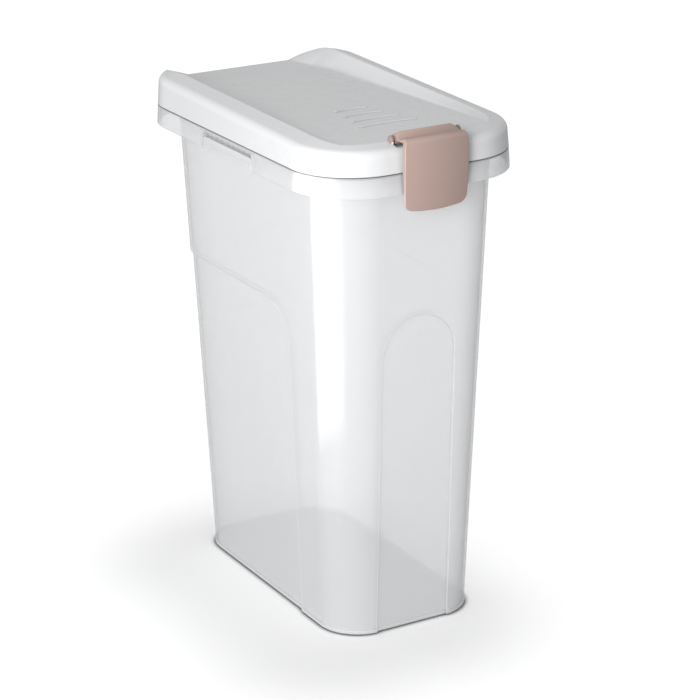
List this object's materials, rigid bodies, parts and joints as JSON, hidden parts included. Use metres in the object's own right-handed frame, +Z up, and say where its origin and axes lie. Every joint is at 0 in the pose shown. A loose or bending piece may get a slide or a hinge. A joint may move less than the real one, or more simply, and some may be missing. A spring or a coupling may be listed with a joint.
{
  "type": "pet food storage bin",
  "caption": "Tall clear storage bin for dry pet food with a hinged milky lid, a snap latch at the front, a seal ring and a fold-out grip bail on each long side.",
  "frame": {"origin": "on the floor under the middle of the bin", "axes": "+Z up, -Y out of the front where the latch is, +X to the right seen from the front"},
  "size_m": [0.1922, 0.3325, 0.4304],
  "materials": {
    "clear_shell": "clear frosted polypropylene",
    "milky_lid": "milky satin polypropylene",
    "seal": "matt white elastomer",
    "latch": "satin taupe plastic"
  },
  "bodies": {
    "tub": {"tub": "clear_shell"},
    "lid": {"lid": "milky_lid", "lid_seal": "seal"},
    "latch": {"latch": "latch"},
    "bail_left": {"bail_left": "clear_shell"},
    "bail_right": {"bail_right": "clear_shell"}
  },
  "joints": [
    {"name": "lid_hinge", "type": "hinge", "parent": "tub", "child": "lid", "pos_m": [0, 0.1605, 0.396], "axis": [-1, 0, 0], "range_deg": [0, 115]},
    {"name": "latch_pivot", "type": "hinge", "parent": "lid", "child": "latch", "pos_m": [0, -0.148, 0.4245], "axis": [-1, 0, 0], "range_deg": [-2, 100]},
    {"name": "bail_left_pivot", "type": "hinge", "parent": "tub", "child": "bail_left", "pos_m": [-0.0929, 0, 0.3858], "axis": [0, -1, 0], "range_deg": [0, 90]},
    {"name": "bail_right_pivot", "type": "hinge", "parent": "tub", "child": "bail_right", "pos_m": [0.0929, 0, 0.3858], "axis": [0, 1, 0], "range_deg": [0, 90]}
  ]
}
